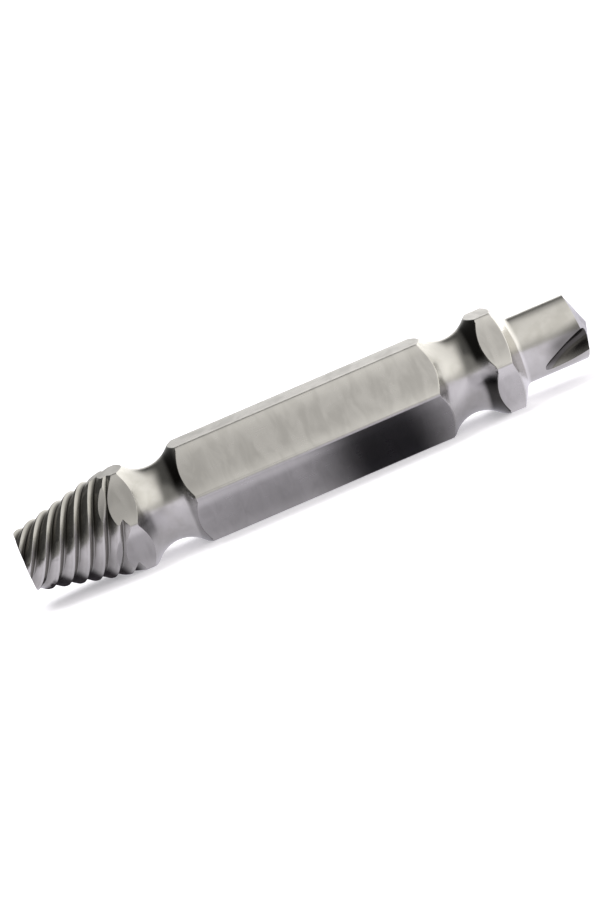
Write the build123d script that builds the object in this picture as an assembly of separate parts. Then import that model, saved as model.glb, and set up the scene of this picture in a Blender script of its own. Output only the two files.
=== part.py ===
from build123d import *
import math
import os

# A double-ended screw extractor bit, machined from one piece of quarter-inch hexagon bar.
# One end is a tapered left-hand thread of several starts, which bites into a damaged screw.
# The other end is a short burnishing drill with two left-hand flutes, which cleans the recess.
# Lengths are in millimetres and angles in degrees. The tool is made upright along Z, with the
# face of its threaded tip at zero, and is laid down along X at the end, on one flat of the bar.

# Hexagon bar
ACROSS_FLATS = 6.35
BAR_EDGE_RADIUS = 0.3

# Lengths along the tool: the first three are measured on the flats of the hexagon
HEAD_LENGTH = 7.78
SHANK_LENGTH = 17.07
COLLAR_LENGTH = 1.68
BURNISHER_LENGTH = 4.2

# Necks, one on each side of the shank: a round bottom, and flanks that rise from it at a slope
FRONT_NECK_ARC = 2.06
FRONT_NECK_FLOOR = 2.5
REAR_NECK_ARC = 2.08
REAR_NECK_FLOOR = 2.52
NECK_SLOPE = 46.5

# Cone of the extractor end
TIP_RADIUS = 1.98
TIP_CHAMFER = 0.08
CONE_HALF_ANGLE = 13.3

# Left-hand thread on the cone: a ramp that rises towards the shank, a narrow crest, a steep drop
THREAD_STARTS = 7
THREAD_PITCH = 0.965
THREAD_DEPTH = 0.28
THREAD_CREST = 0.08
THREAD_DROP = 0.27
THREAD_ROOT = 0.06
THREAD_RUN_OUT = 1.5
THREAD_TO_NECK = 0.83
THREAD_PHASE = 33.4

# Slope and fillet from the collar down to the burnisher
COLLAR_SLOPE = 60.0
COLLAR_FILLET = 0.45

# Burnisher with a blunt point, whose faces fall away behind its two lips
BURNISHER_RADIUS = 2.165
POINT_ANGLE = 146.0
LIP_RELIEF = 5.0

# Left-hand flutes, which get deeper towards the point
FLUTES = 2
FLUTE_LEAD = 44.0
FLUTE_LENGTH = 3.0
FLUTE_DEPTH = 0.95
FLUTE_FLOOR = 0.5
FLUTE_WALL_ANGLE = 35.0
FLUTE_PHASE = -18.3

# A cutter stands out of the surface that it cuts by this much, and its sections follow
# each other at this angle round the tool and at this distance along it
OVERRUN = 0.02
SECTION_TURN = 24.0
SECTION_STEP = 0.6


def tan(angle):
    return math.tan(math.radians(angle))


def neck_foot(arc, floor):
    """Where a neck's round bottom turns into its flank: out from the tool's axis, and along it."""
    slope = math.radians(NECK_SLOPE)
    return floor + arc * (1 - math.cos(slope)), arc * math.sin(slope)


def neck_half(arc, floor, radius=ACROSS_FLATS / 2):
    """Half of a neck's length at a radius on its flanks, or where they come out through a flat."""
    out, along = neck_foot(arc, floor)
    return along + (radius - out) / tan(NECK_SLOPE)


# Stations along the tool, worked out from the lengths above
FRONT_NECK = HEAD_LENGTH + neck_half(FRONT_NECK_ARC, FRONT_NECK_FLOOR)
SHANK_START = FRONT_NECK + neck_half(FRONT_NECK_ARC, FRONT_NECK_FLOOR)
SHANK_END = SHANK_START + SHANK_LENGTH
REAR_NECK = SHANK_END + neck_half(REAR_NECK_ARC, REAR_NECK_FLOOR)
COLLAR_START = REAR_NECK + neck_half(REAR_NECK_ARC, REAR_NECK_FLOOR)
COLLAR_END = COLLAR_START + COLLAR_LENGTH
BURNISHER_START = COLLAR_END + (ACROSS_FLATS / 2 - BURNISHER_RADIUS) / tan(COLLAR_SLOPE)
BURNISHER_END = BURNISHER_START + BURNISHER_LENGTH
POINT = BURNISHER_END + BURNISHER_RADIUS / tan(POINT_ANGLE / 2)
THREAD_END = HEAD_LENGTH - THREAD_TO_NECK
CLEAR_RADIUS = ACROSS_FLATS


def crest_radius(station):
    """Radius of the cone, on which the crests of the thread lie."""
    return TIP_RADIUS + station * tan(CONE_HALF_ANGLE)


def around(angle):
    """Direction at an angle round the tool, counted left-handed from its front corner."""
    return Vector(math.cos(math.radians(angle)), -math.sin(math.radians(angle)), 0)


def hexagon_bar():
    """The bar as it comes from the mill, with softly rounded long edges."""
    outline = RegularPolygon(ACROSS_FLATS / 2, 6, major_radius=False)
    return extrude(fillet(outline.vertices(), BAR_EDGE_RADIUS), POINT)


def turned_ends():
    """What turning leaves of the bar: the cone, the slope of the collar and the burnisher."""
    outline = Polyline(
        (0, 0),
        (TIP_RADIUS, 0),
        (CLEAR_RADIUS, (CLEAR_RADIUS - TIP_RADIUS) / tan(CONE_HALF_ANGLE)),
        (CLEAR_RADIUS, BURNISHER_START - (CLEAR_RADIUS - BURNISHER_RADIUS) / tan(COLLAR_SLOPE)),
        (BURNISHER_RADIUS, BURNISHER_START),
        (BURNISHER_RADIUS, POINT),
        (0, POINT),
        close=True,
    )
    profile = make_face(outline)
    tip_corner = profile.vertices().sort_by_distance((TIP_RADIUS, 0))[0]
    profile = chamfer(tip_corner, TIP_CHAMFER)
    foot_of_slope = profile.vertices().sort_by_distance((BURNISHER_RADIUS, BURNISHER_START))[0]
    profile = fillet(foot_of_slope, COLLAR_FILLET)
    return revolve(Plane.XZ * profile, Axis.Z)


def neck(station, arc, floor):
    """Ring that is turned away at a neck: a round bottom between two straight flanks."""
    out, along = neck_foot(arc, floor)
    bottom = ThreePointArc((out, station - along), (floor, station), (out, station + along))
    half = neck_half(arc, floor, CLEAR_RADIUS)
    flanks = Polyline(bottom @ 1, (CLEAR_RADIUS, station + half), (CLEAR_RADIUS, station - half), bottom @ 0)
    return revolve(Plane.XZ * make_face(bottom + flanks), Axis.Z)


def thread_section(station):
    """Section of one thread groove, in a plane through the tool's axis.

    The groove lifts out of the cone over the run-out, as the grinding wheel does.
    """
    lead = THREAD_PITCH * THREAD_STARTS
    out = around(THREAD_PHASE + 360 * station / lead)
    ramp = THREAD_PITCH - THREAD_CREST - THREAD_DROP - THREAD_ROOT
    run_out = max(0, station - THREAD_END + THREAD_RUN_OUT) / THREAD_RUN_OUT
    lift = (THREAD_DEPTH + 2 * OVERRUN) * run_out**2
    corners = [
        (-THREAD_DROP * OVERRUN / THREAD_DEPTH, OVERRUN),
        (THREAD_DROP, -THREAD_DEPTH),
        (THREAD_DROP + THREAD_ROOT, -THREAD_DEPTH),
        (THREAD_DROP + THREAD_ROOT + ramp * (1 + OVERRUN / THREAD_DEPTH), OVERRUN),
    ]
    points = [(crest_radius(station + along) + height + lift, station + along) for along, height in corners]
    plane = Plane(origin=(0, 0, 0), x_dir=out, z_dir=out.cross(Vector(0, 0, 1)))
    return plane * make_face(Polyline(*points, close=True))


def thread_groove():
    """One groove of the thread, from just before the tip to the end of its run-out."""
    start = -THREAD_PITCH - OVERRUN
    turn = 360 * (THREAD_END - start) / (THREAD_PITCH * THREAD_STARTS)
    count = math.ceil(turn / SECTION_TURN)
    stations = [start + (THREAD_END - start) * index / count for index in range(count + 1)]
    return loft([thread_section(station) for station in stations])


def flute_angle(station):
    """Where round the tool the middle of the first flute lies at a station."""
    return FLUTE_PHASE + 360 * (station - BURNISHER_END) / FLUTE_LEAD


def flute_depth(station):
    """Depth of a flute at a station, full at the shoulder of the point."""
    along = min(1, (station - BURNISHER_END + FLUTE_LENGTH) / FLUTE_LENGTH)
    return FLUTE_DEPTH * (1 - (1 - along) ** 2)


def flute_wall(station):
    """Foot and top of a flute's wall, out from the tool's axis and sideways from the flute's middle."""
    slant = math.radians(FLUTE_WALL_ANGLE)
    floor_centre = BURNISHER_RADIUS - flute_depth(station) + FLUTE_FLOOR
    foot = Vector(floor_centre - FLUTE_FLOOR * math.sin(slant), FLUTE_FLOOR * math.cos(slant))
    height = BURNISHER_RADIUS + OVERRUN - foot.X
    return foot, foot + Vector(height, height * math.tan(slant))


def flute_section(station):
    """Section of a flute across the tool: a round floor between two straight walls."""
    foot, top = flute_wall(station)
    bottom = Vector(BURNISHER_RADIUS - flute_depth(station), 0)
    floor = ThreePointArc(foot, bottom, (foot.X, -foot.Y))
    walls = Polyline((foot.X, -foot.Y), (top.X, -top.Y), top, foot)
    plane = Plane(origin=(0, 0, station), x_dir=around(flute_angle(station)), z_dir=(0, 0, 1))
    return plane * make_face(floor + walls)


def flute():
    """One flute, from where its cutter is still clear of the burnisher to beyond the point."""
    start = BURNISHER_END - FLUTE_LENGTH * math.sqrt(1 + OVERRUN / FLUTE_DEPTH)
    end = POINT + OVERRUN
    count = math.ceil((end - start) / SECTION_STEP)
    stations = [start + (end - start) * index / count for index in range(count + 1)]
    return loft([flute_section(station) for station in stations])


def ground_point():
    """Two blunt cones, each tilted about the line of the lips, which leave a ridge along it."""
    height = POINT + CLEAR_RADIUS
    cone = Cone(height * tan(POINT_ANGLE / 2), 0, height, align=(Align.CENTER, Align.CENTER, Align.MAX))
    _, wall_top = flute_wall(BURNISHER_END)
    half_opening = math.degrees(math.atan2(wall_top.Y, wall_top.X))
    lips = Axis((0, 0, 0), around(flute_angle(BURNISHER_END) - half_opening))
    return [Pos(0, 0, POINT) * cone.rotate(lips, tilt) for tilt in (LIP_RELIEF, -LIP_RELIEF)]


def screw_extractor():
    """The whole tool, upright on the face of its threaded tip."""
    groove = thread_groove()
    tool = turned_ends()
    tool -= [Rot(0, 0, 360 * start / THREAD_STARTS) * groove for start in range(THREAD_STARTS)]
    tool &= hexagon_bar()
    tool -= neck(FRONT_NECK, FRONT_NECK_ARC, FRONT_NECK_FLOOR)
    tool -= neck(REAR_NECK, REAR_NECK_ARC, REAR_NECK_FLOOR)
    cutter = flute()
    tool -= [Rot(0, 0, 360 * number / FLUTES) * cutter for number in range(FLUTES)]
    for cone in ground_point():
        tool &= cone
    return tool


lying = Plane(origin=(-POINT / 2, 0, ACROSS_FLATS / 2), x_dir=(0, -1, 0), z_dir=(1, 0, 0))
os.makedirs("parts", exist_ok=True)
export_step(lying.location * screw_extractor(), "parts/screw_extractor.step")
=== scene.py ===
import logging
import math
from dataclasses import dataclass
from enum import Enum
from functools import reduce
from typing import ClassVar

import bmesh
import bpy
from mathutils import Matrix, Vector


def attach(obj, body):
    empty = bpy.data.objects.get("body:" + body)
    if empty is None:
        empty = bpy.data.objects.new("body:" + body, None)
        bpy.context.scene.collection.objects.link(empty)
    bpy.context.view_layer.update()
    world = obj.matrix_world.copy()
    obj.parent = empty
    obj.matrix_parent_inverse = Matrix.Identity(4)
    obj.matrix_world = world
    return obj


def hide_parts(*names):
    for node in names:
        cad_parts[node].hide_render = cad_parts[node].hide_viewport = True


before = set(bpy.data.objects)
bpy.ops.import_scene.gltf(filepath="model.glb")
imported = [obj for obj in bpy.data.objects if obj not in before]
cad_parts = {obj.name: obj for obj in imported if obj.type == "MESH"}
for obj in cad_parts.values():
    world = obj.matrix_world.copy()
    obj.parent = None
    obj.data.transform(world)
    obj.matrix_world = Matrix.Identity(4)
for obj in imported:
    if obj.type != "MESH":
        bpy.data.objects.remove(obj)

# A double-ended screw extractor bit of hardened tool steel, lying on one flat of its hexagon shank.
# Sizes in the classes are in millimetres and are turned into metres once, where they are used.
# The tool lies along X: its threaded tip points to -X and its drill point to +X, and its axis is
# half of the width across flats above the floor. Places along the tool count from its middle, and
# places round it are parts of a turn, from the front (-Y) over the top.

LOG = logging.getLogger("screw_extractor")
MM = 0.001
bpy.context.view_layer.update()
Socket = bpy.types.NodeSocket
Colour = tuple[float, float, float, float]
Stops = tuple[tuple[float, float], ...]


class Region(Enum):
    """A part of the tool's surface, named for the way in which it was made."""

    DRAWN = "drawn_hexagon_steel"
    TURNED = "turned_steel"
    THREAD = "ground_thread_steel"
    FLUTE = "ground_flute_steel"
    POINT = "ground_point_steel"


def linear(hex_colour: str) -> Colour:
    """Turns an sRGB colour into the linear one that the shaders take.

    Args:
        hex_colour: Six hexadecimal digits, such as "8f8d87".

    Returns:
        Red, green and blue in linear light, and an alpha of 1.
    """
    channels = [int(hex_colour[place:place + 2], 16) / 255 for place in (0, 2, 4)]
    curved = [c / 12.92 if c <= 0.04045 else ((c + 0.055) / 1.055) ** 2.4 for c in channels]
    return (*curved, 1.0)


def add_node(
    tree: bpy.types.NodeTree, kind: str, inputs: dict | None = None, **settings: object
) -> bpy.types.Node:
    """Adds a node, sets its properties, and fills or joins its inputs.

    Args:
        tree: The node tree that gets the node.
        kind: Blender's name for the kind of node, without the words that all of them start with.
        inputs: Value or output socket for each input, by the input's name or place.
        **settings: Properties of the node itself.

    Returns:
        The new node.
    """
    node = tree.nodes.new("ShaderNode" + kind)
    for name, value in settings.items():
        setattr(node, name, value)
    for key, value in (inputs or {}).items():
        if isinstance(value, Socket):
            tree.links.new(value, node.inputs[key])
        else:
            node.inputs[key].default_value = value
    return node


def new_tree(material_name: str) -> tuple[bpy.types.Material, bpy.types.NodeTree]:
    """Makes a material with an empty node tree.

    Args:
        material_name: Name of the material.

    Returns:
        The material and its tree.
    """
    material = bpy.data.materials.new(material_name)
    material.use_nodes = True
    material.node_tree.nodes.clear()
    return material, material.node_tree


def object_of(name: str, form: bmesh.types.BMesh, *materials: bpy.types.Material) -> bpy.types.Object:
    """Turns a shape into an object of the scene, with its place in its mesh.

    Args:
        name: Name of the object and of its mesh.
        form: Its shape, which is freed.
        *materials: Its materials, in the order of the numbers that its faces hold.

    Returns:
        The new object.
    """
    mesh = bpy.data.meshes.new(name)
    form.to_mesh(mesh)
    form.free()
    for material in materials:
        mesh.materials.append(material)
    made = bpy.data.objects.new(name, mesh)
    bpy.context.scene.collection.objects.link(made)
    return made


@dataclass(frozen=True)
class ToolSizes:
    """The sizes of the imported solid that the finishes, the pieces and the camera follow.

    Attributes:
        across_flats: Width of the hexagon across its flats.
        tip: Place of the threaded tip's face along the tool.
        tip_radius: Radius of the crests' cone at the tip.
        cone_half_angle: Half of the cone's angle, in degrees.
        thread_pitch: Distance along the tool from one crest to the next.
        thread_starts: Number of grooves.
        thread_phase: Angle round the tool of the first groove at the tip, in degrees.
        burnisher_radius: Radius of the burnisher.
        point_start: Place along the tool where the point starts.
        flute_lead: Length in which a flute would go once round.
        flute_turn: Angle round the tool of the first flute at the start of the point, in degrees.
    """

    across_flats: float = 6.35
    tip: float = -19.0283
    tip_radius: float = 1.98
    cone_half_angle: float = 13.3
    thread_pitch: float = 0.965
    thread_starts: int = 7
    thread_phase: float = 33.4
    burnisher_radius: float = 2.165
    point_start: float = 18.36
    flute_lead: float = 44.0
    flute_turn: float = -18.3

    @property
    def half_flats(self) -> float:
        """Height of the tool's axis above the floor, which is how far each flat is from the axis."""
        return self.across_flats / 2


SIZES = ToolSizes()


@dataclass
class Wiring:
    """A node tree, with the ways in which values are strung together in it.

    Attributes:
        tree: The node tree.
    """

    tree: bpy.types.NodeTree

    def add(self, kind: str, *values: Socket | float | tuple, **settings: object) -> Socket:
        """Adds a node with its inputs in order and gives its first output."""
        return add_node(self.tree, kind, dict(enumerate(values)), **settings).outputs[0]

    def joined(self, operation: str, *values: Socket | float) -> Socket:
        """Joins values one after another by the same operation and gives the result."""
        return reduce(lambda so_far, value: self.add("Math", so_far, value, operation=operation), values)

    def product(self, *values: Socket | float) -> Socket:
        """Multiplies values and gives the result."""
        return self.joined("MULTIPLY", *values)

    def highest(self, *values: Socket | float) -> Socket:
        """Gives the highest of some values."""
        return self.joined("MAXIMUM", *values)


@dataclass
class Spot(Wiring):
    """Where a point of the surface lies, as sockets in millimetres.

    Attributes:
        along: Distance along the tool from its middle.
        across: Distance towards the back from the tool's axis.
        point: Both of them and the height over the axis, as a vector.
        radius: Distance from the tool's axis.
        turn: Part of a turn round the axis, from the front over the top.
    """

    along: Socket
    across: Socket
    point: Socket
    radius: Socket
    turn: Socket

    @classmethod
    def find(cls, tree: bpy.types.NodeTree) -> "Spot":
        """Adds the nodes that work out where a point lies.

        Args:
            tree: The node tree of a material.

        Returns:
            The sockets.
        """
        wiring = Wiring(tree)
        place = add_node(tree, "TexCoord").outputs["Object"]
        scaled = add_node(tree, "VectorMath", {0: place, "Scale": 1 / MM}, operation="SCALE").outputs[0]
        point = wiring.add("VectorMath", scaled, (0, 0, -SIZES.half_flats), operation="ADD")
        along, across, up = add_node(tree, "SeparateXYZ", {0: point}).outputs
        flat = add_node(tree, "CombineXYZ", {"Y": across, "Z": up}).outputs[0]
        radius = add_node(tree, "VectorMath", {0: flat}, operation="LENGTH").outputs["Value"]
        angle = wiring.add("Math", up, wiring.product(across, -1.0), operation="ARCTAN2")
        return cls(tree, along, across, point, radius, wiring.product(angle, 0.5 / math.pi))

    def stretched(self, along: float, sideways: float) -> Socket:
        """Scales the point's place along the tool and sideways: below 1, a pattern is drawn out."""
        return self.add("VectorMath", self.point, (along, sideways, sideways), operation="MULTIPLY")


@dataclass(frozen=True)
class Rise:
    """A smooth rise from 0 at one value to 1 at another.

    Attributes:
        low: Value at which it is 0.
        high: Value at which it is 1, which may be the lower of the two.
    """

    low: float
    high: float

    def over(self, wiring: Wiring, value: Socket) -> Socket:
        """Adds the rise over a value and gives its strength."""
        return wiring.add("MapRange", value, self.low, self.high, interpolation_type="SMOOTHSTEP")


@dataclass(frozen=True)
class Ring:
    """A ring round the tool between two places along it, with soft ends.

    Attributes:
        start: Place along the tool where it starts.
        end: Place along the tool where it ends.
        fade: Length of each soft end.
    """

    start: float
    end: float
    fade: float

    def strength(self, spot: Spot) -> Socket:
        """Adds the ring.

        Args:
            spot: Where the point lies.

        Returns:
            How strong the ring is at the point, from 0 to 1.
        """
        starts = Rise(self.start, self.start + self.fade).over(spot, spot.along)
        ends = Rise(self.end, self.end - self.fade).over(spot, spot.along)
        return spot.product(starts, ends)


@dataclass(frozen=True)
class SteelFinish:
    """Hardened tool steel, with the marks that its making left.

    Attributes:
        bare: Colour of the clean metal.
        dull: Colour of its duller patches, where an oil film has dried.
        rubbed_and_highlight: Colour of what is lighter: rubbed wear, and on some finishes a painted
            highlight.
        shaded_colour: Colour of the painted shade.
        roughness: Roughness of the clean metal.
        spread: How far the marks move the roughness up and down.
        line_gap: Distance between the marks.
        line_depth: Depth of the marks.
        patch: Size of the duller patches.
        edge: Radius of the broken edges.
        dulled: Over what values of the patches the metal gets dull.
        grain: Number of grains of the fine unevenness to the millimetre.
        grain_share: Height of the grains as a share of the marks' height.
        region: What part of the surface has this finish.
    """

    bare: str
    dull: str
    rubbed_and_highlight: str
    shaded_colour: str
    roughness: float
    spread: float
    line_gap: float
    line_depth: float
    patch: float = 1.3
    edge: float = 0.035
    dulled: Rise = Rise(0.38, 0.68)
    grain: float = 9.0
    grain_share: float = 0.35

    region: ClassVar[Region]

    def lines(self, spot: Spot) -> Socket:
        """Height of the marks, from 0 to 1, which each way of making lays in its own direction."""
        raise NotImplementedError

    def patches(self, spot: Spot) -> Socket:
        """Uneven patches, from 0 to 1, where an oil film has dried."""
        settings = {"Vector": spot.point, "Scale": 1 / self.patch, "Detail": 4.0}
        return add_node(spot.tree, "TexNoise", settings).outputs[0]

    def wear_and_highlight(self, spot: Spot) -> Socket | None:
        """How much wear and painted highlight lighten a point, from 0 to 1, or nothing where neither does.
        """
        return None

    def painted_shade(self, spot: Spot) -> Socket | None:
        """How dark painted shade makes a point, from 0 to 1, or nothing where there is none."""
        return None

    def noise(self, spot: Spot, across: Socket) -> Socket:
        """Uneven lines that cross a coordinate.

        Args:
            spot: Where the point lies.
            across: Coordinate in millimetres that the lines cross.

        Returns:
            Height from 0 to 1.
        """
        settings = {"W": across, "Scale": 1 / self.line_gap, "Detail": 3.0, "Roughness": 0.6}
        return add_node(spot.tree, "TexNoise", settings, noise_dimensions="1D").outputs[0]

    def tone(self, spot: Spot, dulled: Socket) -> Socket:
        """Colours a point by how dull it is, by its painted shade, and by its wear and painted highlight.

        Args:
            spot: Where the point lies.
            dulled: How dull it is, from 0 to 1.

        Returns:
            The colour.
        """
        clean = {0: dulled, 6: linear(self.bare), 7: linear(self.dull)}
        tone = add_node(spot.tree, "Mix", clean, data_type="RGBA").outputs[2]
        for mask, hue in ((self.painted_shade(spot), self.shaded_colour), (self.wear_and_highlight(spot), self.rubbed_and_highlight)):
            if mask is not None:
                layer = {0: mask, 6: tone, 7: linear(hue)}
                tone = add_node(spot.tree, "Mix", layer, data_type="RGBA").outputs[2]
        return tone

    def material(self) -> bpy.types.Material:
        """Makes the finish as a node material.

        Returns:
            The material, named for the finish.
        """
        material, tree = new_tree(self.region.value)
        spot = Spot.find(tree)
        lines = self.lines(spot)
        dulled = self.dulled.over(spot, self.patches(spot))
        least = self.roughness - self.spread
        rough = spot.add("Math", lines, 2 * self.spread, least, operation="MULTIPLY_ADD")
        rough = spot.add("Math", dulled, self.spread, rough, operation="MULTIPLY_ADD")
        grains = {"Vector": spot.point, "Scale": self.grain, "Detail": 2.0}
        grain = add_node(tree, "TexNoise", grains).outputs[0]
        relief = spot.add("Math", grain, self.grain_share, lines, operation="MULTIPLY_ADD")
        broken = add_node(tree, "Bevel", {"Radius": self.edge * MM}, samples=6).outputs[0]
        marks = {"Height": relief, "Distance": self.line_depth * MM, "Normal": broken}
        metal = {
            "Base Color": self.tone(spot, dulled),
            "Metallic": 1.0,
            "Roughness": rough,
            "Normal": add_node(tree, "Bump", marks).outputs[0],
        }
        shader = add_node(tree, "BsdfPrincipled", metal)
        add_node(tree, "OutputMaterial", {"Surface": shader.outputs["BSDF"]})
        return material


@dataclass(frozen=True)
class DrawnFlat(SteelFinish):
    """Cold-drawn hexagon bar: satin, with faint streaks along the bar, its long edges rubbed bright, and a
    painted highlight along its front corner.

    Attributes:
        streak_squeeze: Width of a streak as a share of its length.
        scuff_squeeze: Length of a scuff along the bar as a share of its length across it.
        edges: Over what distances from the axis the long edges are rubbed.
        edge_share: How much they are rubbed.
        front_highlight: Over what distances from the axis the painted highlight along the front corner
            runs, at full strength.
        highlight_below: Over what part of a turn that painted highlight starts, under the corner.
        highlight_above: Over what part of a turn it ends, over the edge.
        highlight_fades: Over what places along the tool it gets weaker.
        highlight_loss: How much weaker it gets.
        shade_reach: Over what places along the tool painted shade starts on the head.
        shade_share: How dark that shade is.
    """

    streak_squeeze: float = 0.05
    scuff_squeeze: float = 0.4
    edges: Rise = Rise(3.22, 3.6)
    edge_share: float = 0.3
    front_highlight: Rise = Rise(3.27, 3.55)
    highlight_below: Rise = Rise(-0.15, -0.06)
    highlight_above: Rise = Rise(0.03, -0.05)
    highlight_fades: Rise = Rise(0.0, 5.0)
    highlight_loss: float = 0.5
    shade_reach: Rise = Rise(-11.0, -11.6)
    shade_share: float = 0.16

    region: ClassVar[Region] = Region.DRAWN

    def lines(self, spot: Spot) -> Socket:
        """Streaks along the bar, which the drawing die left.

        Args:
            spot: Where the point lies.

        Returns:
            Height from 0 to 1.
        """
        place = spot.stretched(self.streak_squeeze, 1.0)
        settings = {"Vector": place, "Scale": 1 / self.line_gap, "Detail": 4.0, "Roughness": 0.6}
        return add_node(spot.tree, "TexNoise", settings).outputs[0]

    def patches(self, spot: Spot) -> Socket:
        """Scuffs across the bar, which tumbling left, drawn coarse enough to show.

        Args:
            spot: Where the point lies.

        Returns:
            How strong they are, from 0 to 1.
        """
        place = spot.stretched(1.0, self.scuff_squeeze)
        settings = {"Vector": place, "Scale": 1 / self.patch, "Detail": 5.0, "Distortion": 0.6}
        return add_node(spot.tree, "TexNoise", settings).outputs[0]

    def wear_and_highlight(self, spot: Spot) -> Socket:
        """Handling keeps the six long edges bright, and a painted highlight lightens the front one most of
        all.

        Args:
            spot: Where the point lies.

        Returns:
            How much lighter the point is, from wear and painted highlight, from 0 to 1.
        """
        # Painted highlight along the front corner, weaker towards the burnisher; the faint band on all six
        # edges is wear
        band = spot.product(self.highlight_above.over(spot, spot.turn), self.highlight_below.over(spot, spot.turn))
        front_highlight = spot.product(band, self.front_highlight.over(spot, spot.radius))
        fading = self.highlight_fades.over(spot, spot.along)
        left_over = spot.add("Math", fading, -self.highlight_loss, 1.0, operation="MULTIPLY_ADD")
        edges = spot.product(self.edges.over(spot, spot.radius), self.edge_share)
        return spot.highest(edges, spot.product(front_highlight, left_over))

    def painted_shade(self, spot: Spot) -> Socket:
        """Painted shade darkens the head's flats a little, next to the thread."""
        return spot.product(self.shade_reach.over(spot, spot.along), self.shade_share)


@dataclass(frozen=True)
class TurnedSteel(SteelFinish):
    """Turned on a lathe: brighter than the bar, with fine rings round the tool.

    Attributes:
        slope_highlight: Where a painted highlight lightens the slope behind the collar.
        collar_shade: Where painted shade darkens the slope up to the collar.
        unshaded_at: Place round the tool, just above its front corner, that this shade leaves light.
        unshaded_fade: Over what distances round the tool from that place the shade comes back.
        unshaded_least: Share of the shade that the place keeps.
        unshaded_gain: Share of the shade that comes back.
        shank_shade: Where painted shade darkens the slope up to the shank.
        shank_side: Over what part of a turn that shade starts, on the upper side.
        shank_shade_line: Where a thin line of painted shade runs all round, next to the shank.
        line_share: How strong that line is.
        head_shade: Where painted shade darkens the slope down from the head.
        head_below: Over what part of a turn that shade starts, under the front corner.
        head_above: Over what part of a turn it ends, over the front corner.
        head_share: How strong it is.
        shade_out: Over what distances from the axis all this painted shade starts.
        shade_reach: Over what places along the tool painted shade starts beside the flutes.
        shade_side: Over what share of the way from flute to flute that shade ends.
        shade_share: How strong it is.
    """

    slope_highlight: Ring = Ring(13.45, 14.4, 0.25)
    collar_shade: Ring = Ring(11.0, 13.1, 0.5)
    unshaded_at: float = 0.0125
    unshaded_fade: Rise = Rise(0.01, 0.05)
    unshaded_least: float = 0.16
    unshaded_gain: float = 0.78
    shank_shade: Ring = Ring(-9.1, -7.6, 0.6)
    shank_side: Rise = Rise(0.01, 0.08)
    shank_shade_line: Ring = Ring(-8.5, -7.6, 0.25)
    line_share: float = 0.45
    head_shade: Ring = Ring(-11.9, -10.4, 0.5)
    head_below: Rise = Rise(-0.09, -0.03)
    head_above: Rise = Rise(0.04, 0.0)
    head_share: float = 0.6
    shade_out: Rise = Rise(2.6, 2.85)
    shade_reach: Rise = Rise(15.2, 16.7)
    shade_side: Rise = Rise(0.27, 0.13)
    shade_share: float = 0.68

    region: ClassVar[Region] = Region.TURNED

    def lines(self, spot: Spot) -> Socket:
        """Rings round the tool, as a lathe leaves them."""
        return self.noise(spot, spot.along)

    def wear_and_highlight(self, spot: Spot) -> Socket:
        """A painted highlight lightens the slope behind the collar."""
        return self.slope_highlight.strength(spot)

    def scale(self, spot: Spot) -> Socket:
        """Painted shade darkens the necks where they rise.

        Args:
            spot: Where the point lies.

        Returns:
            How dark that shade makes the point, from 0 to 1.
        """
        # Painted shade on the necks' flanks, left light just above the front corner
        apart = spot.add("Math", spot.turn, self.unshaded_at, operation="SUBTRACT")
        comes_back = self.unshaded_fade.over(spot, spot.add("Math", apart, operation="ABSOLUTE"))
        ends = (self.unshaded_gain, self.unshaded_least)
        kept = spot.add("Math", comes_back, *ends, operation="MULTIPLY_ADD")
        collar = spot.product(self.collar_shade.strength(spot), kept)
        shank = spot.product(self.shank_shade.strength(spot), self.shank_side.over(spot, spot.turn))
        line = spot.product(self.shank_shade_line.strength(spot), self.line_share)
        corner = spot.product(self.head_above.over(spot, spot.turn), self.head_below.over(spot, spot.turn))
        head = spot.product(corner, self.head_shade.strength(spot), self.head_share)
        return spot.product(spot.highest(collar, shank, line, head), self.shade_out.over(spot, spot.radius))

    def painted_shade(self, spot: Spot) -> Socket:
        """Painted shade on the necks, and beside the flutes.

        Args:
            spot: Where the point lies.

        Returns:
            How dark the point is, from 0 to 1.
        """
        # Painted shade beside the flutes
        middle = SIZES.flute_turn / 360 - SIZES.point_start / SIZES.flute_lead
        untwisted = spot.add("Math", spot.turn, middle, operation="SUBTRACT")
        beside = spot.add("Math", spot.along, -1 / SIZES.flute_lead, untwisted, operation="MULTIPLY_ADD")
        half_turn = spot.add("Math", spot.product(beside, 2.0), operation="FRACT")
        side = self.shade_side.over(spot, half_turn)
        shade_reach = spot.product(side, self.shade_reach.over(spot, spot.along), self.shade_share)
        return spot.highest(self.scale(spot), shade_reach)


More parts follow.
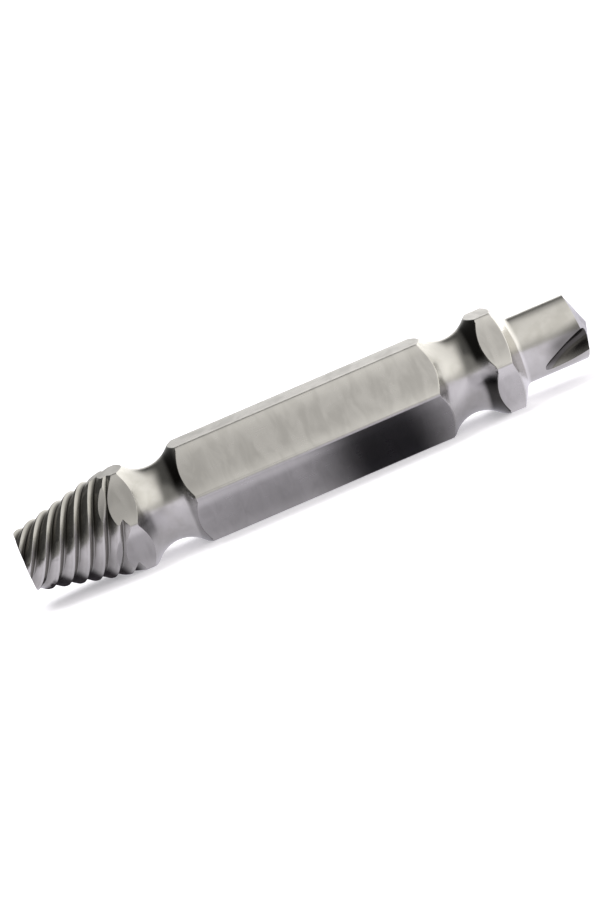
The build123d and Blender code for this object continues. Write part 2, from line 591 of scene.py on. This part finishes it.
@dataclass(frozen=True)
class GroundThread(SteelFinish):
    """Ground thread: fine lines along each groove, bright crests and roots darkened by painted shade.

    Attributes:
        crest: Over what depths the rubbed crests end.
        root: Over what depths the dark roots start.
        upper_side: Over what part of a turn the roots get darker, towards the top.
        lower_share: How dark the roots are on the lower side.
        upper_gain: How much darker they are on the upper side.
        groove_shift: How far the lines of a groove are moved from those of the one before.
    """

    crest: Rise = Rise(0.0, 0.06)
    root: Rise = Rise(0.08, 0.26)
    upper_side: Rise = Rise(-0.03, 0.06)
    lower_share: float = 0.4
    upper_gain: float = 0.6
    groove_shift: float = 7.3

    region: ClassVar[Region] = Region.THREAD

    def across_groove(self, spot: Spot) -> tuple[Socket, Socket]:
        """Finds where a point lies in its groove.

        Args:
            spot: Where the point lies.

        Returns:
            Distance from the groove's steep side in pitches, from 0 to 1, and the groove's number.
        """
        starts = SIZES.thread_starts
        first = SIZES.thread_phase / 360 * starts - SIZES.tip / SIZES.thread_pitch
        moved = spot.add("Math", spot.along, 1 / SIZES.thread_pitch, first, operation="MULTIPLY_ADD")
        count = spot.add("Math", spot.turn, -starts, moved, operation="MULTIPLY_ADD")
        whole = spot.add("Math", count, operation="FLOOR")
        number = spot.add("Math", whole, starts, operation="FLOORED_MODULO")
        return spot.add("Math", count, operation="FRACT"), number

    def lines(self, spot: Spot) -> Socket:
        """Lines along the groove, as the grinding wheel leaves them.

        Args:
            spot: Where the point lies.

        Returns:
            Height from 0 to 1.
        """
        inside, number = self.across_groove(spot)
        across = spot.product(inside, SIZES.thread_pitch)
        shifted = spot.add("Math", number, self.groove_shift, across, operation="MULTIPLY_ADD")
        return self.noise(spot, shifted)

    def depth(self, spot: Spot) -> Socket:
        """Finds how deep a point lies under the crests' cone.

        Args:
            spot: Where the point lies.

        Returns:
            The depth in millimetres, square to the tool's axis.
        """
        slope = math.tan(math.radians(SIZES.cone_half_angle))
        at_middle = SIZES.tip_radius - SIZES.tip * slope
        crest = spot.add("Math", spot.along, slope, at_middle, operation="MULTIPLY_ADD")
        return spot.add("Math", crest, spot.radius, operation="SUBTRACT")

    def wear_and_highlight(self, spot: Spot) -> Socket:
        """The crests are rubbed bright."""
        return spot.add("Math", 1.0, self.crest.over(spot, self.depth(spot)), operation="SUBTRACT")

    def painted_shade(self, spot: Spot) -> Socket:
        """Painted shade darkens the roots of the grooves, most of all on the upper side.

        Args:
            spot: Where the point lies.

        Returns:
            How dark the point is, from 0 to 1.
        """
        ends = (self.upper_gain, self.lower_share)
        side = spot.add("Math", self.upper_side.over(spot, spot.turn), *ends, operation="MULTIPLY_ADD")
        return spot.product(self.root.over(spot, self.depth(spot)), side)


@dataclass(frozen=True)
class GroundFlute(SteelFinish):
    """Ground flute: lines along the flute, and a floor darkened by painted shade.

    Attributes:
        wall: Over what distances from the axis the flute's painted shade fades out.
    """

    wall: Rise = Rise(1.7, 2.35)

    region: ClassVar[Region] = Region.FLUTE

    def lines(self, spot: Spot) -> Socket:
        """Lines along the flute's own twist.

        Args:
            spot: Where the point lies.

        Returns:
            Height from 0 to 1.
        """
        twist = spot.add("Math", spot.along, -1 / SIZES.flute_lead, spot.turn, operation="MULTIPLY_ADD")
        return self.noise(spot, spot.product(twist, 2 * math.pi * SIZES.burnisher_radius))

    def painted_shade(self, spot: Spot) -> Socket:
        """Painted shade darkens the floor of the flute."""
        return spot.add("Math", 1.0, self.wall.over(spot, spot.radius), operation="SUBTRACT")


@dataclass(frozen=True)
class GroundPoint(SteelFinish):
    """Ground point and tip face: straight lines, as a flat wheel leaves them.

    Attributes:
        crossed_at: Angle round the tool of the direction that the lines cross, in degrees.
    """

    crossed_at: float = -60.0

    region: ClassVar[Region] = Region.POINT

    def lines(self, spot: Spot) -> Socket:
        """Straight lines across both faces of the point.

        Args:
            spot: Where the point lies.

        Returns:
            Height from 0 to 1.
        """
        side = math.radians(self.crossed_at)
        facing = (0, -math.cos(side), math.sin(side))
        settings = {0: spot.point, 1: facing}
        across = add_node(spot.tree, "VectorMath", settings, operation="DOT_PRODUCT").outputs["Value"]
        return self.noise(spot, across)


# Cold-drawn tool steel, tumbled after hardening: satin, a little warm, no mirror image. The die's
# streaks and the tumbler's scuffs are drawn coarser than the real ones, so that they show.
DRAWN = DrawnFlat(
    bare="b5b3af",
    dull="a9a7a3",
    rubbed_and_highlight="e8e6e0",
    shaded_colour="6f6d69",
    roughness=0.28,
    spread=0.03,
    line_gap=0.12,
    line_depth=0.0003,
    patch=0.8,
)
# Turned and then tumbled: smoother and brighter, the light runs round it in clear bands. The rings
# are drawn coarser than a finishing cut leaves them, so that they show.
TURNED = TurnedSteel(
    bare="c2c0bb",
    dull="b8b6b0",
    rubbed_and_highlight="dad8d3",
    shaded_colour="34322e",
    roughness=0.2,
    spread=0.04,
    line_gap=0.11,
    line_depth=0.0006,
)
# Wheel-ground thread: clear bands on the ramps, bright crests, painted shade in the roots. The
# lines of the wheel's grit are drawn coarser than real, here and on the next two, so that they show.
THREAD = GroundThread(
    bare="aeaca7",
    dull="a3a19b",
    rubbed_and_highlight="b8b6b1",
    shaded_colour="504e4a",
    roughness=0.2,
    spread=0.05,
    line_gap=0.07,
    line_depth=0.0004,
)
# Wheel-ground flute: duller than the burnisher, with painted shade at its floor.
FLUTE = GroundFlute(
    bare="9b9995",
    dull="8d8b87",
    rubbed_and_highlight="c8c6c2",
    shaded_colour="4e4c49",
    roughness=0.22,
    spread=0.05,
    line_gap=0.08,
    line_depth=0.0009,
)
# Wheel-ground point and tip face: duller than the burnisher too, with straight lines that catch
# the light.
POINT = GroundPoint(
    bare="a9a7a3",
    dull="9e9c98",
    rubbed_and_highlight="c8c6c2",
    shaded_colour="6f6d69",
    roughness=0.22,
    spread=0.05,
    line_gap=0.08,
    line_depth=0.0009,
)
FINISHES = (DRAWN, TURNED, THREAD, FLUTE, POINT)


@dataclass
class ExtractorBit:
    """The tool itself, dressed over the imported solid.

    Attributes:
        name: Name of the piece.
        merge_within: Points that lie nearer to each other than this are one point.
        flat_within: Faces that turn by less than this angle, in degrees, are one flat face.
        sharp_above: Edges that turn by more than this angle, in degrees, are sharp.
        rim_above: Edges of a flat that turn by more than this angle, in degrees, are its rim.
        broken_width: Width of the broken edge round each flat.
        broken_depth: How far a broken edge goes back.
        broken_from: Where along the tool the broken edges start, behind the head, whose edges the
            thread cuts up.
        flat_lean: How little the normal of a flat leans along the tool.
        flat_slack: How near to its true plane a flat lies.
        bar_lean: How little the normal of any face of the bar leans, with its rounded edges.
        bar_slack: How far inside the flats a face of the bar may lie.
        tip_facing: How squarely the tip's face looks along the tool.
        threaded_to: Place along the tool up to which what is no bar is thread.
        turned_to: Place along the tool from which on a face may be ground again.
        wall_facing: How squarely the burnisher's wall looks away from the axis.
        wall_slack: How far inside its radius a face of that wall may lie.
        point_facing: How squarely the point's faces look along the tool.
    """

    name: str = "extractor_bit"
    merge_within: float = 0.001
    flat_within: float = 0.2
    sharp_above: float = 24.0
    rim_above: float = 15.0
    broken_width: float = 0.06
    broken_depth: float = 0.012
    broken_from: float = -11.0
    flat_lean: float = 0.01
    flat_slack: float = 0.002
    bar_lean: float = 0.02
    bar_slack: float = 0.01
    tip_facing: float = 0.99
    threaded_to: float = -12.0
    turned_to: float = 14.7
    wall_facing: float = 0.97
    wall_slack: float = 0.02
    point_facing: float = 0.85

    def centre(self, face: bmesh.types.BMFace) -> Vector:
        """Gives a face's middle, in millimetres from the middle of the tool's axis."""
        return face.calc_center_median() / MM - Vector((0, 0, SIZES.half_flats))

    def is_flat(self, face: bmesh.types.BMFace) -> bool:
        """Says whether a face lies on a flat of the shank or the collar.

        Args:
            face: A face of the merged solid.

        Returns:
            True for such a face.
        """
        centre = self.centre(face)
        off_plane = abs(face.normal.dot(centre) - SIZES.half_flats)
        on_flat = abs(face.normal.x) < self.flat_lean and off_plane < self.flat_slack
        return on_flat and centre.x > self.broken_from

    def region(self, face: bmesh.types.BMFace) -> Region:
        """Finds which way of making left a face.

        Args:
            face: A face of the merged solid.

        Returns:
            The region that the face belongs to.
        """
        centre = self.centre(face)
        out = Vector((0, centre.y, centre.z))
        radius = out.length
        if abs(face.normal.x) < self.bar_lean and radius > SIZES.half_flats - self.bar_slack:
            return Region.DRAWN
        if face.normal.x < -self.tip_facing:
            return Region.POINT
        if centre.x < self.threaded_to:
            return Region.THREAD
        if centre.x < self.turned_to:
            return Region.TURNED
        looks_out = face.normal.dot(out) > self.wall_facing * radius
        if looks_out and radius > SIZES.burnisher_radius - self.wall_slack:
            return Region.TURNED
        if face.normal.x > self.point_facing:
            return Region.POINT
        return Region.FLUTE

    def break_edges(self, form: bmesh.types.BMesh) -> None:
        """Breaks the sharp edges round the flats, as tumbling does.

        Args:
            form: The merged solid.
        """
        flats = [face for face in form.faces if self.is_flat(face)]
        rim = {
            vertex
            for face in flats
            for edge in face.edges
            if edge.calc_face_angle(0.0) > math.radians(self.rim_above)
            for vertex in edge.verts
        }
        inwards = {vertex: -vertex.normal.copy() for vertex in rim}
        bmesh.ops.inset_individual(
            form, faces=flats, thickness=self.broken_width * MM, depth=0, use_even_offset=True
        )
        for vertex, direction in inwards.items():
            bmesh.ops.translate(form, verts=[vertex], vec=direction * self.broken_depth * MM)
        form.normal_update()

    def build(self, node: bpy.types.Object) -> bpy.types.Object:
        """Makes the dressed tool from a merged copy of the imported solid.

        Args:
            node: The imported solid's own object.

        Returns:
            The new piece, in place.
        """
        form = bmesh.new()
        form.from_mesh(node.data)
        bmesh.ops.remove_doubles(form, verts=form.verts, dist=self.merge_within * MM)
        bmesh.ops.dissolve_limit(
            form, angle_limit=math.radians(self.flat_within), verts=form.verts, edges=form.edges
        )
        self.break_edges(form)
        order = [finish.region for finish in FINISHES]
        for face in form.faces:
            face.material_index = order.index(self.region(face))
            face.smooth = True
        for edge in form.edges:
            edge.smooth = edge.calc_face_angle(0.0) < math.radians(self.sharp_above)
        piece = object_of(self.name, form, *(finish.material() for finish in FINISHES))
        even = piece.modifiers.new("even_normals", "WEIGHTED_NORMAL")
        even.keep_sharp = True
        even.weight = 100
        return piece


@dataclass(frozen=True)
class Fade:
    """A brightness that changes smoothly with a value.

    Attributes:
        stops: Pairs of a value and its brightness, in order, two at the least.
        low: Lowest value.
        high: Highest value.
    """

    stops: Stops
    low: float = -1.0
    high: float = 1.0

    def over(self, wiring: Wiring, value: Socket) -> Socket:
        """Adds the nodes that follow a value.

        Args:
            wiring: Where the nodes go.
            value: What the brightness follows.

        Returns:
            The brightness.
        """
        share = wiring.add("MapRange", value, self.low, self.high)
        ramp = add_node(wiring.tree, "ValToRGB", {0: share})
        ramp.color_ramp.interpolation = "B_SPLINE"
        first, *between, last = [(place - self.low) / (self.high - self.low) for place, _ in self.stops]
        elements = ramp.color_ramp.elements
        elements[0].position = first
        elements[1].position = last
        for place in between:
            elements.new(place)
        top = max(bright for _, bright in self.stops)
        for element, (_, bright) in zip(elements, self.stops):
            element.color = (bright / top, bright / top, bright / top, 1.0)
        return wiring.product(ramp.outputs["Color"], top)


def all_round(stops: Stops) -> Fade:
    """Makes a fade over the angle round the tool from stops in degrees."""
    return Fade(tuple((math.radians(angle), bright) for angle, bright in stops), -math.pi, math.pi)


# The tent's brightness, by the part of a direction that points along the tool, from the dark end
# on the left to the bright end on the right
SIDE_LIGHT = Fade(
    (
        (-1.0, 0.002),
        (-0.8, 0.004),
        (-0.6, 0.01),
        (-0.4, 0.03),
        (-0.2, 0.25),
        (0.0, 0.93),
        (0.1, 1.12),
        (0.3, 1.28),
        (0.6, 1.4),
        (0.85, 1.5),
        (1.0, 1.2),
    )
)
# Brightness round the tool, from under its back over its front and its top to its back
ROUND_LIGHT = all_round(
    (
        (-180, 1.1),
        (-90, 0.6),
        (0, 0.62),
        (9, 0.58),
        (18, 0.8),
        (30, 1.03),
        (50, 1.1),
        (75, 1.0),
        (105, 0.98),
        (130, 1.0),
        (150, 1.15),
        (162, 1.4),
        (180, 1.4),
    )
)
# How far the gap behind the tool takes the light away, and how far it reaches from left to right
GAP = all_round(
    (
        (90, 0.0),
        (103, 0.08),
        (111, 0.25),
        (121, 0.45),
        (132, 0.72),
        (142, 0.95),
        (152, 1.0),
        (158, 0.7),
        (164, 0.1),
        (180, 0.0),
    )
)
GAP_REACH = Fade(((-1.0, 1.0), (0.12, 1.0), (0.22, 0.75), (0.36, 0.0), (1.0, 0.0)))
# Light low over the floor, by the height of the direction and from left to right
HORIZON = Fade(
    ((-1.0, 0.6), (0.0, 0.6), (0.1, 0.54), (0.2, 0.36), (0.32, 0.18), (0.45, 0.12), (0.6, 0.1), (1.0, 0.1))
)
HORIZON_REACH = Fade(((-1.0, 0.1), (-0.93, 0.3), (-0.8, 1.0), (1.0, 1.0)))
# Dim light of the tent's front, from straight in front to the back
FRONT_FILL = Fade(((-1.0, 0.3), (-0.6, 0.3), (-0.45, 0.16), (-0.3, 0.03), (-0.2, 0.0), (1.0, 0.0)))
# Painted glow of the floor that only the steel sees, graded from the tip's end to the burnisher's
# to paint lighter and darker stretches into the steel, by the place along the tool in metres
FLOOR_GLOW = Fade(
    (
        (-0.03, 0.98),
        (-0.02, 0.9),
        (-0.014, 0.63),
        (-0.011, 0.8),
        (-0.008, 0.5),
        (-0.004, 0.44),
        (0.0085, 0.42),
        (0.0105, 0.52),
        (0.0118, 0.85),
        (0.0128, 1.0),
        (0.0145, 0.85),
        (0.03, 0.8),
    ),
    -0.03,
    0.03,
)
# Glow of the floor to the camera, by the distance from the tool's middle in metres
FLOOR_AWAY = Fade(((0.0, 0.4), (0.1, 0.4), (0.5, 1.0), (1.0, 1.0)), 0.0, 1.0)


@dataclass(frozen=True)
class SoftCard:
    """A dark card with soft ends on the floor, which only the steel mirrors: a painted dark reflection.

    Attributes:
        name: Name of the card.
        shade: Colour of the card.
        low: Its left and front edge.
        high: Its right and back edge.
        fade: Over what lengths its left end, right end and front fade out.
        height: Its height over the floor.
    """

    name: str
    shade: str
    low: tuple[float, float]
    high: tuple[float, float]
    fade: tuple[float, float, float]
    height: float = 0.05

    def material(self) -> bpy.types.Material:
        """Makes the card's material, which is clear where the card fades out.

        Returns:
            The material.
        """
        # Painted dark reflection: a card that shines nowhere, so the steel shows a soft dark
        # stretch where it mirrors it
        material, tree = new_tree("painted_dark_reflection_card")
        spot = Spot.find(tree)
        left = Rise(self.low[0], self.low[0] + self.fade[0]).over(spot, spot.along)
        right = Rise(self.high[0], self.high[0] - self.fade[1]).over(spot, spot.along)
        front = Rise(self.low[1], self.low[1] + self.fade[2]).over(spot, spot.across)
        clear = spot.add("BsdfTransparent")
        dark = spot.add("Emission", linear(self.shade))
        card = spot.add("MixShader", spot.product(left, right, front), clear, dark)
        add_node(tree, "OutputMaterial", {"Surface": card})
        return material

    def build(self) -> None:
        """Lays the card on the floor."""
        form = bmesh.new()
        bmesh.ops.create_grid(form, x_segments=1, y_segments=1, size=0.5)
        (left, front), (right, back) = self.low, self.high
        size = Vector((right - left, back - front, 1))
        middle = Vector(((right + left) / 2, (back + front) / 2, self.height))
        bmesh.ops.scale(form, verts=form.verts, vec=size * MM)
        bmesh.ops.translate(form, verts=form.verts, vec=middle * MM)
        piece = object_of(self.name, form, self.material())
        for kind in ("camera", "diffuse", "transmission", "volume_scatter", "shadow"):
            setattr(piece, "visible_" + kind, False)
        LOG.info("%s: card of %.1f by %.1f mm", self.name, size.x, size.y)


# Painted dark reflections, in the shank's lower faces and under the thread
CARDS = (
    SoftCard("painted_reflection_under_shank", "25242a", (-1.4, -6.8), (10.2, -1.0), (4.6, 4.2, 0.6)),
    SoftCard("painted_reflection_under_tip", "3b373d", (-19.5, -1.9), (-11.6, 3.0), (0.5, 0.8, 1.0)),
)


@dataclass
class Studio:
    """A pale floor, the light over it and the camera.

    Attributes:
        distance: Distance of the camera from the tool's axis.
        elevation: Height of the camera above the axis, in degrees.
        foot: Place of the camera along the tool.
        aim: Point along the tool that the picture's middle shows.
        aim_drop: How far below the tool's axis the picture's middle is.
        roll: Turn of the camera about its own axis, in degrees, which tilts the tool.
        picture_height: Length that the picture's height spans at the tool.
        sensor: Height of the camera's sensor.
        floor_radius: Radius of the round floor.
        floor_sides: Number of its sides.
        floor_seen: Colour of the floor to the camera.
        floor_mirrored: Colour of the floor to the steel.
        floor_light: Colour of the painted glow that only the steel sees.
        tent_tint: Colour of the tent's light, a little warm.
        backdrop: Brightness of the plain white behind the tool.
        lamp_width: Width of the lamp overhead.
        lamp_watts: Power of the lamp.
        lamp_place: Place of the lamp.
    """

    distance: float = 190.0
    elevation: float = 9.7
    foot: float = -9.7
    aim: float = -0.6
    aim_drop: float = 0.38
    roll: float = 22.75
    picture_height: float = 56.137
    sensor: float = 36.0
    floor_radius: float = 3000.0
    floor_sides: int = 96
    floor_seen: str = "f2f1f5"
    floor_mirrored: str = "8c8a95"
    floor_light: str = "eeecf7"
    tent_tint: Colour = (1.0, 0.985, 0.96, 1.0)
    backdrop: float = 1.1
    lamp_width: float = 500.0
    lamp_watts: float = 2.0
    lamp_place: tuple[float, float, float] = (-100.0, 150.0, 500.0)

    def camera(self) -> None:
        """Places the camera where the photograph was taken from."""
        height = math.radians(self.elevation)
        axis = Vector((0, 0, SIZES.half_flats))
        across_view = Vector((0, math.sin(height), math.cos(height)))
        towards = Vector((0, -math.cos(height), math.sin(height)))
        place = axis + Vector((self.foot, 0, 0)) + towards * self.distance
        target = axis + Vector((self.aim, 0, 0)) - across_view * self.aim_drop
        back = (place - target).normalized()
        level = Vector((0, 0, 1)).cross(back).normalized()
        facing = Matrix((level, back.cross(level), back)).transposed().to_4x4()
        data = bpy.data.cameras.new("camera")
        data.sensor_fit = "VERTICAL"
        data.sensor_height = self.sensor
        data.sensor_width = self.sensor
        data.lens = self.sensor * (place - target).length / self.picture_height
        data.clip_start = 0.01
        camera = bpy.data.objects.new("camera", data)
        roll = Matrix.Rotation(math.radians(-self.roll), 4, "Z")
        camera.matrix_world = Matrix.Translation(place * MM) @ facing @ roll
        bpy.context.scene.collection.objects.link(camera)
        bpy.context.scene.camera = camera
        LOG.info("camera: %.1f mm lens, %.0f mm away", data.lens, self.distance)

    def floor_material(self) -> bpy.types.Material:
        """Makes the floor's material, which glows more weakly for the steel than for the camera.

        Returns:
            The material.
        """
        # White floor with a painted glow: matt and evenly pale to the eye, a dimmer grey in the steel
        material, tree = new_tree("white_floor_painted_glow")
        wiring = Wiring(tree)
        place = add_node(tree, "TexCoord").outputs["Object"]
        along = add_node(tree, "SeparateXYZ", {0: place}).outputs[0]
        away = add_node(tree, "VectorMath", {0: place}, operation="LENGTH").outputs["Value"]
        matt = {"Roughness": 0.9, "Specular IOR Level": 0.0}
        seen = {
            "Base Color": linear(self.floor_seen),
            "Emission Color": linear(self.floor_seen),
            "Emission Strength": FLOOR_AWAY.over(wiring, away),
        }
        mirrored = {
            "Base Color": linear(self.floor_mirrored),
            "Emission Color": linear(self.floor_light),
            "Emission Strength": FLOOR_GLOW.over(wiring, along),
        }
        shaded = add_node(tree, "BsdfPrincipled", matt | mirrored).outputs[0]
        bright = add_node(tree, "BsdfPrincipled", matt | seen).outputs[0]
        by_camera = add_node(tree, "LightPath").outputs["Is Camera Ray"]
        add_node(tree, "OutputMaterial", {"Surface": wiring.add("MixShader", by_camera, shaded, bright)})
        return material

    def floor(self) -> None:
        """Makes the plain pale floor."""
        form = bmesh.new()
        radius = self.floor_radius * MM
        bmesh.ops.create_circle(form, cap_ends=True, segments=self.floor_sides, radius=radius)
        floor = object_of("floor", form, self.floor_material())
        LOG.info("%s: radius %.1f m", floor.name, radius)

    def tent(self, wiring: Wiring) -> Socket:
        """Adds the tent's light: bright to the right, dark to the left, a gap behind.

        Args:
            wiring: Where the nodes go.

        Returns:
            Its brightness in each direction.
        """
        where = add_node(wiring.tree, "TexCoord").outputs["Generated"]
        x, y, z = add_node(wiring.tree, "SeparateXYZ", {0: where}).outputs
        angle = wiring.add("Math", z, wiring.product(y, -1.0), operation="ARCTAN2")
        shut = wiring.product(GAP.over(wiring, angle), GAP_REACH.over(wiring, x))
        unshut = wiring.add("Math", 1.0, shut, operation="SUBTRACT")
        walls = wiring.product(SIDE_LIGHT.over(wiring, x), ROUND_LIGHT.over(wiring, angle), unshut)
        horizon = wiring.product(HORIZON.over(wiring, z), HORIZON_REACH.over(wiring, x))
        return wiring.highest(walls, horizon, FRONT_FILL.over(wiring, y))

    def world(self) -> None:
        """Hangs the soft tent round the tool, with plain white where the camera looks past it."""
        world = bpy.data.worlds.new("soft_tent")
        bpy.context.scene.world = world
        world.use_nodes = True
        world.node_tree.nodes.clear()
        wiring = Wiring(world.node_tree)
        soft = wiring.add("Background", self.tent_tint, self.tent(wiring))
        white = wiring.add("Background", (1, 1, 1, 1), self.backdrop)
        by_camera = add_node(wiring.tree, "LightPath").outputs["Is Camera Ray"]
        add_node(wiring.tree, "OutputWorld", {"Surface": wiring.add("MixShader", by_camera, soft, white)})
        bpy.context.scene.view_settings.view_transform = "Standard"
        LOG.info("%s: hung", world.name)

    def lamp(self) -> None:
        """Hangs a soft lamp over the tool, which lights the floor and which the steel does not mirror."""
        lamp = bpy.data.lights.new("overhead", "AREA")
        lamp.shape = "DISK"
        lamp.size = self.lamp_width * MM
        lamp.energy = self.lamp_watts
        overhead = bpy.data.objects.new("overhead", lamp)
        overhead.location = Vector(self.lamp_place) * MM
        overhead.rotation_mode = "QUATERNION"
        overhead.rotation_quaternion = (-overhead.location).to_track_quat("-Z", "Y")
        overhead.visible_glossy = False
        bpy.context.scene.collection.objects.link(overhead)
        LOG.info("%s: %.1f W", overhead.name, lamp.energy)

    def build(self) -> None:
        """Makes the floor, the cards on it, the light and the camera."""
        self.floor()
        for card in CARDS:
            card.build()
        self.world()
        self.lamp()
        self.camera()


def main() -> None:
    """Builds the studio and the tool in it."""
    logging.basicConfig(level=logging.INFO, format="%(name)s: %(message)s")
    Studio().build()
    bit = ExtractorBit().build(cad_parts["screw_extractor"])
    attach(bit, "root")
    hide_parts("screw_extractor")
    LOG.info("%s: %d faces, %d finishes", bit.name, len(bit.data.polygons), len(bit.data.materials))


if __name__ == "__main__":
    main()
